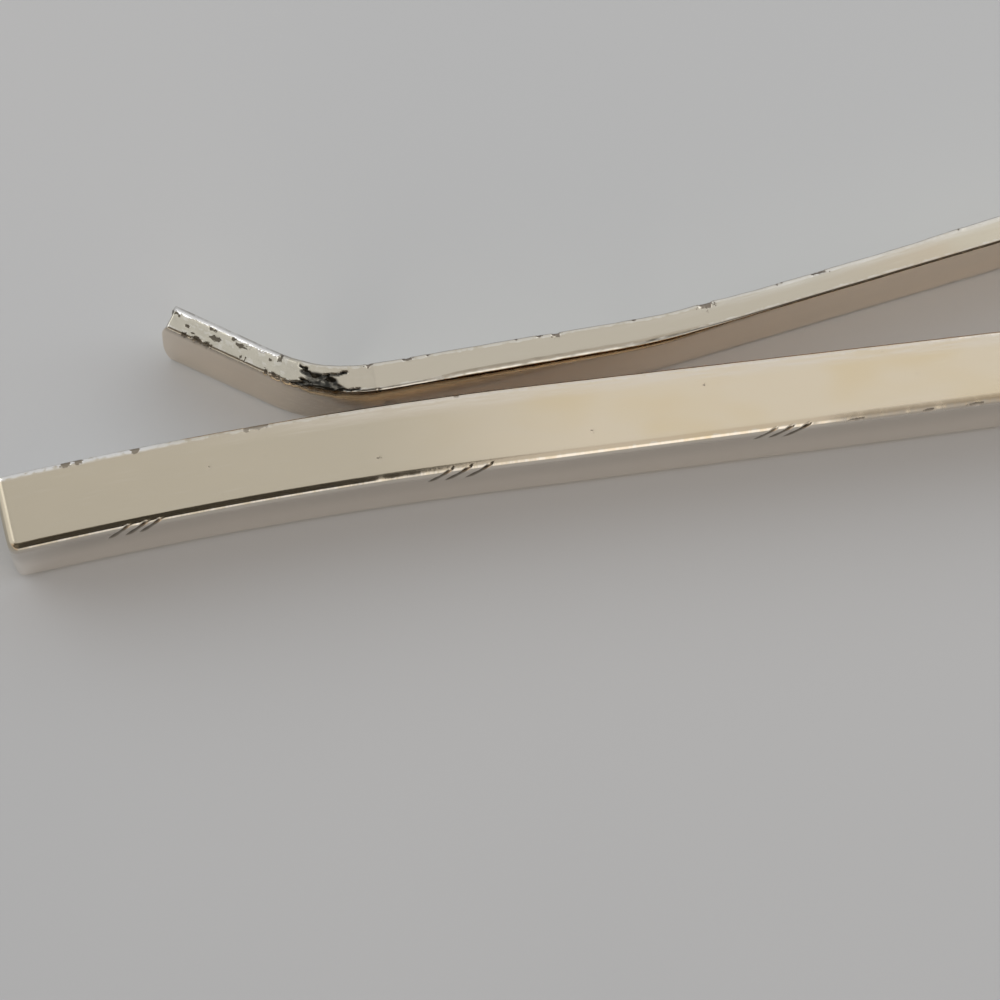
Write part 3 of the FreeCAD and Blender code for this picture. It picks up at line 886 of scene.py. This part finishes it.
def worn_gilt(name, gilt, engraved=False, strip=False):
    """Worn pale gilt: rubbed along its length, bare at the arrises, dark in chips and cuts."""
    clean, tan, darker_gilt = gilt
    n = Material(name)
    flow = n.attribute("flow", "Vector")
    arris = n.attribute("arris")
    chip = n.attribute("chip")
    clouds = n.noise(flow, (0.16, 0.30, 1.0), 2.0, 0.5)
    rubbed = n.noise(flow, (0.55, 9.0, 1.0), 4.0, 0.6, 0.4)
    fine = n.noise(flow, (2.2, 34.0, 1.0), 3.0, 0.6)
    broken = n.noise(flow, (2.6, 3.4, 1.0), 4.0, 0.65)
    specks = n.noise(flow, (4.2, 4.2, 1.0), 2.0, 0.5)
    jagged = n.noise(flow, (8.0, 11.0, 1.0), 3.0, 0.65)

    colour = n.mix(n.step(clouds, 0.44, 0.66), clean, tan)
    # darker gilt towards the free end, and in random patches
    uneven = n.plus(n.attribute("darker_to_free_end"), n.around(clouds, 0.4), clamp=True)
    colour = n.mix(uneven, colour, darker_gilt)
    colour = n.mix(n.step(rubbed, 0.50, 0.78, 0.0, 0.07), colour, WHITE_METAL)
    if strip:
        # paler crest at the root, and a lip whose plating has peeled off its outer edge
        crest = n.times(n.attribute("crest"), n.step(rubbed, 0.30, 0.70, 0.25, 0.75))
        colour = n.mix(crest, colour, WHITE_METAL)
        lip = n.attribute("lip")
        colour = n.mix(n.times(lip, 0.8), colour, LIP_METAL)
        bare_lip = n.times(lip, n.step(broken, 0.52, 0.60, 0.0, 0.3))
        colour = n.mix(bare_lip, colour, WHITE_METAL)
        torn = n.plus(n.attribute("rim"), n.around(jagged, 0.50))
        torn = n.plus(torn, n.around(broken, 0.60))
        # tarnish spots and a painted shadow along the edge of the peeled plating
        under = n.times(n.step(torn, 0.36, 0.42), n.step(specks, 0.42, 0.54, 0.0, 0.75))
        colour = n.mix(n.times(under, lip), colour, TARNISH)
        peeled = n.times(n.step(torn, 0.42, 0.46), lip)
        colour = n.mix(peeled, colour, BARE_METAL)

    # bare arrises, spots and chips
    edge = n.plus(arris, n.around(broken, 1.3))
    colour = n.mix(n.step(edge, 0.75, 1.05, 0.0, 0.45), colour, WHITE_METAL)
    spots = n.times(n.step(specks, 0.72, 0.78), n.step(arris, 0.0, 0.6, 0.15, 1.0))
    colour = n.mix(n.times(spots, 0.5), colour, TARNISH)
    ragged = n.plus(chip, n.around(jagged, 1.7))
    bared = n.times(n.step(ragged, 0.20, 0.34), n.step(chip, 0.0, 0.10))
    unbared = n.rest(bared)
    stain = n.mix(lip, TARNISH, DARK_TARNISH) if strip else BAR_STAIN
    colour = n.mix(n.times(bared, 0.9), colour, stain)
    satin = n.step(rubbed, 0.3, 0.8, 0.20, 0.26)
    rough_value = n.times(satin, n.rest(n.times(n.attribute("polish"), 0.72)))
    rough_value = n.plus(rough_value, n.times(bared, 0.22))

    if strip:
        gouge = n.attribute("gouge")
        blackened = n.times(gouge, n.step(broken, 0.34, 0.50, 0.72, 0.98))
        colour = n.mix(blackened, colour, BLACKENED)
        rough_value = n.math("SUBTRACT", rough_value, n.times(gouge, 0.08), clamp=True)
        # painted edge shade along the outer arris, broken by noise
        painted_edge_shade = n.times(n.attribute("painted_edge_shade"), n.step(broken, 0.40, 0.56, 0.0, 0.7))
        colour = n.mix(painted_edge_shade, colour, TARNISH)
    if engraved:
        # front face, rubbed back edge, shade below the front arris, dull bend, bare tip
        show = n.attribute("show")
        colour = n.mix(n.times(show, 0.95), colour, SHOW_GILT)
        pale = n.times(n.attribute("pale"), n.step(rubbed, 0.30, 0.70, 0.3, 0.8))
        colour = n.mix(pale, colour, PALE_GILT)
        shaded = n.times(n.attribute("shaded"), show)
        colour = n.mix(n.times(shaded, n.step(clouds, 0.3, 0.7, 0.85, 1.15)), colour, TARNISH)
        worn = n.times(n.attribute("worn"), n.step(broken, 0.30, 0.60, 0.5, 1.0))
        colour = n.mix(n.times(worn, 0.30), colour, BAR_STAIN)
        rough_value = n.plus(rough_value, n.times(worn, 0.34))
        bare = n.times(n.attribute("bare"), n.step(broken, 0.34, 0.50, 0.3, 1.0))
        colour = n.mix(n.times(bare, unbared), colour, BARE_METAL)
        groove = n.attribute("groove")
        cut = n.step(groove, 0.10, 0.34)
        colour = n.mix(n.times(cut, 0.92), colour, BAR_STAIN)
        colour = n.mix(n.step(groove, 0.30, 0.70, 0.0, 0.7), colour, DARK_TARNISH)
        rough_value = n.plus(rough_value, n.times(cut, 0.15))

    # inner faces, rubbed or stained
    inside = n.times(n.attribute("inside"), n.step(clouds, 0.30, 0.62, 0.80, 1.0))
    colour = n.mix(n.times(inside, unbared), colour, INNER_GILT)
    if engraved:
        slid = n.times(n.attribute("rubbed"), n.step(rubbed, 0.25, 0.65, 0.6, 0.95))
        colour = n.mix(slid, colour, BARE_METAL)
    normal = n.bump(broken, 0.000010, 0.12, n.bump(fine, 0.000003, 0.2))
    if strip:
        # painted shade under the inner arris, at the root and at the nip
        painted_shade_band = n.times(n.attribute("painted_shade_band"), n.step(broken, 0.28, 0.52, 0.45, 0.9))
        colour = n.mix(painted_shade_band, colour, DARK_TARNISH)
        normal = n.bump(peeled, 0.000012, 0.6, normal)
    n.put(colour, n.shader.inputs["Base Color"])
    n.put(rough_value, n.shader.inputs["Roughness"])
    n.put(1.0, n.shader.inputs["Metallic"])
    n.put(normal, n.shader.inputs["Normal"])
    return n.material


def seat_metal(name):
    """Strip inside the facing: stained where the hems cover it, rubbed bare by the tip."""
    n = Material(name)
    place = n.place()
    clouds = n.noise(place, (300.0, 900.0, 900.0))
    rubbed = n.noise(place, (700.0, 9000.0, 9000.0), 4.0, 0.6)
    stains = n.noise(place, (1500.0, 2200.0, 2200.0), 4.0, 0.65)
    colour = n.mix(n.step(clouds, 0.4, 0.65), INNER_GILT, PALE_GILT)
    colour = n.mix(n.step(stains, 0.46, 0.68, 0.15, 0.50), colour, TARNISH)
    by_tip = n.step(n.axes(place)[0], -0.010, -0.016)
    slid = n.times(by_tip, n.step(rubbed, 0.25, 0.65, 0.6, 0.95))
    colour = n.mix(slid, colour, BARE_METAL)
    n.put(colour, n.shader.inputs["Base Color"])
    n.put(n.step(rubbed, 0.3, 0.75, 0.07, 0.16), n.shader.inputs["Roughness"])
    n.put(1.0, n.shader.inputs["Metallic"])
    n.put(n.bump(rubbed, 0.000006, 0.3), n.shader.inputs["Normal"])
    return n.material


def table_top(name):
    """Pale matt table with painted shade, a little lighter towards the back and darker towards the
    front.
    """
    n = Material(name)
    place = n.place()
    clouds = n.noise(place, (25.0, 25.0, 25.0), 2.0)
    grain = n.noise(place, (2600.0, 2600.0, 2600.0), 2.0)
    # painted shade: the table is coloured darker towards the front and lighter towards the back
    near, far = (0.485, 0.502, 0.520), (0.524, 0.544, 0.564)
    colour = n.mix(n.step(n.axes(place)[1], -0.026, 0.012), near, far)
    colour = n.mix(n.step(clouds, 0.35, 0.65, 0.0, 0.12), colour, (0.61, 0.61, 0.61))
    n.put(colour, n.shader.inputs["Base Color"])
    n.put(0.62, n.shader.inputs["Roughness"])
    n.put(n.bump(grain, 0.00001, 0.05), n.shader.inputs["Normal"])
    return n.material


arm = make_arm()
shade(arm, 50)
arm.data.materials.append(worn_gilt("gilt_strip", STRIP_GILT, strip=True))
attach(arm, "back_arm")
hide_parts("spring_arm")

fold = make_fold()
shade(fold, 50)
fold.data.materials.append(arm.data.materials[0])
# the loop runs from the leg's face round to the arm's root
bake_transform(fold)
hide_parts("spring_fold")

facing = make_facing()
shade(facing, 38)
facing.data.materials.append(worn_gilt("gilt_facing", BAR_GILT, engraved=True))
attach(facing, "front_bar")
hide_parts("front_shell")

leg = frame["nodes"]["spring_leg"]
leg.data.materials.clear()
leg.data.materials.append(seat_metal("gilt_seat"))


def make_floor():
    """Plain table that the clip stands on."""
    half = 1.2
    corners = [(-half, -half, 0), (half, -half, 0), (half, half, 0), (-half, half, 0)]
    mesh = bpy.data.meshes.new("table")
    mesh.from_pydata(corners, [], [(0, 1, 2, 3)])
    mesh.materials.append(table_top("table_top"))
    obj = add_object("table", mesh)


make_floor()


def make_camera():
    """Camera at the photo's view: from above, tipped a little towards the front bar."""
    tilt, heading, roll = math.radians(12.343), math.radians(21.80), math.radians(14.61)
    distance, aim = 150.0, Vector((-6.796, -4.775, 2.5))
    focal_widths = 3.855
    ahead = Vector((math.sin(tilt) * math.sin(heading), math.sin(tilt) * math.cos(heading),
                    -math.cos(tilt)))
    level = Vector((math.cos(heading), -math.sin(heading), 0))
    rise = level.cross(ahead)
    right = math.cos(roll) * level + math.sin(roll) * rise
    up = right.cross(ahead)
    data = bpy.data.cameras.new("camera")
    data.lens = data.sensor_width * focal_widths
    data.clip_start = 0.005
    camera = add_object("camera", data)
    turn = Matrix((right, up, -ahead)).transposed().to_4x4()
    camera.matrix_world = Matrix.Translation((aim - ahead * distance) * MM) @ turn
    bpy.context.scene.camera = camera


make_camera()


def make_lamp(name, place, side, watts):
    """Square soft box, turned towards the clip."""
    data = bpy.data.lights.new(name, "AREA")
    data.shape = "SQUARE"
    data.size = side
    data.energy = watts
    lamp = add_object(name, data)
    lamp.location = place
    lamp.rotation_euler = (-Vector(place)).to_track_quat("-Z", "Y").to_euler()


make_lamp("left_box", (-0.445, 0.36, 0.41), 0.58, 0.75)
make_lamp("right_box", (0.45, 0.17, 0.40), 0.50, 0.60)
make_lamp("rim_box", (0.26, 0.47, 0.364), 0.22, 0.12)


def make_flag():
    """Dark card in front to the left, seen only in the metal's reflections."""
    right, fold, high = (-0.0018, -0.100, 0.042), (0.0077, -0.100, 0.184), (0.0131, -0.040, 0.260)
    left = -0.250
    corners = [(left, *right[1:]), right, fold, (left, *fold[1:]), high, (left, *high[1:])]
    mesh = bpy.data.meshes.new("dark_card")
    mesh.from_pydata(corners, [], [(0, 1, 2, 3), (3, 2, 4, 5)])
    n = Material("dark_card")
    place = n.place()
    weave = n.times(n.step(n.noise(place, (420.0, 60.0, 60.0)), 0.38, 0.66), 0.70)
    weave = n.plus(weave, n.step(n.axes(place)[0], -0.020, -0.030), clamp=True)
    colour = n.mix(weave, (0.012, 0.010, 0.008), (0.20, 0.17, 0.13))
    n.put(colour, n.shader.inputs["Base Color"])
    n.put(0.9, n.shader.inputs["Roughness"])
    mesh.materials.append(n.material)
    obj = add_object("dark_card", mesh)
    obj.visible_camera = obj.visible_diffuse = obj.visible_shadow = False
    obj.visible_transmission = obj.visible_volume_scatter = False


make_flag()


def make_world():
    """Even studio surround, a little warm in front, with a low pale strip there."""
    world = bpy.data.worlds.new("studio")
    bpy.context.scene.world = world
    world.use_nodes = True
    n = Nodes(world.node_tree)
    output = n.tree.nodes.new("ShaderNodeOutputWorld")
    background = n.tree.nodes.new("ShaderNodeBackground")
    n.put(background.outputs[0], output.inputs[0])
    x, y, z = n.axes(n.place("Generated"))

    # overhead and behind: paler to the right, and far to the left
    above = n.plus(n.step(x, -0.15, 0.10, 0.645, 0.765), n.step(y, 0.35, 0.75, 0.0, -0.06))
    ends = n.plus(n.step(x, 0.12, 0.21, 0.0, -0.02), n.step(x, -0.50, -0.70, 0.0, 0.22))
    above = n.plus(above, ends)

    # in front: the pale strip, which the front bend mirrors as a white line, and two dimmer
    # patches to its right
    slot = n.times(n.step(x, 0.070, 0.105), n.step(x, 0.165, 0.205, 1.0, 0.0))
    low = n.times(n.step(y, -0.80, -0.92), n.step(z, -0.02, 0.03, 0.0, 0.6))
    ahead = n.plus(0.645, n.times(slot, low))
    wedge = n.times(n.step(x, 0.25, 0.29, 0.0, 0.5), n.step(x, 0.48, 0.56, 1.0, 0.0))
    dim = n.times(n.step(y, -0.50, -0.62), n.step(y, -0.84, -0.93, 1.0, 0.0))
    ahead = n.math("SUBTRACT", ahead, n.times(wedge, dim))
    fade = n.times(n.step(x, 0.200, 0.235, 0.0, 0.26), n.step(x, 0.25, 0.30, 1.0, 0.0))
    ahead = n.math("SUBTRACT", ahead, n.times(fade, n.step(y, -0.45, -0.65)))

    front = n.step(y, 0.0, -0.30)
    level = n.plus(n.times(above, n.rest(front)), n.times(ahead, front))
    n.put(level, background.inputs["Strength"])
    # warmer at both sides of the front
    beside = n.plus(n.step(x, -0.08, -0.20, 0.12, 1.0), n.step(x, 0.28, 0.40, 0.12, 1.0))
    tint = n.mix(n.times(front, beside), (1.0, 1.0, 1.0), (1.0, 0.84, 0.70))
    n.put(tint, background.inputs["Color"])


make_world()

bpy.context.scene.view_settings.view_transform = "Standard"
# light finds its way down the narrow gap only by way of the polished faces
bpy.context.scene.cycles.max_bounces = 24
bpy.context.scene.cycles.glossy_bounces = 16
bpy.context.scene.cycles.blur_glossy = 0.0
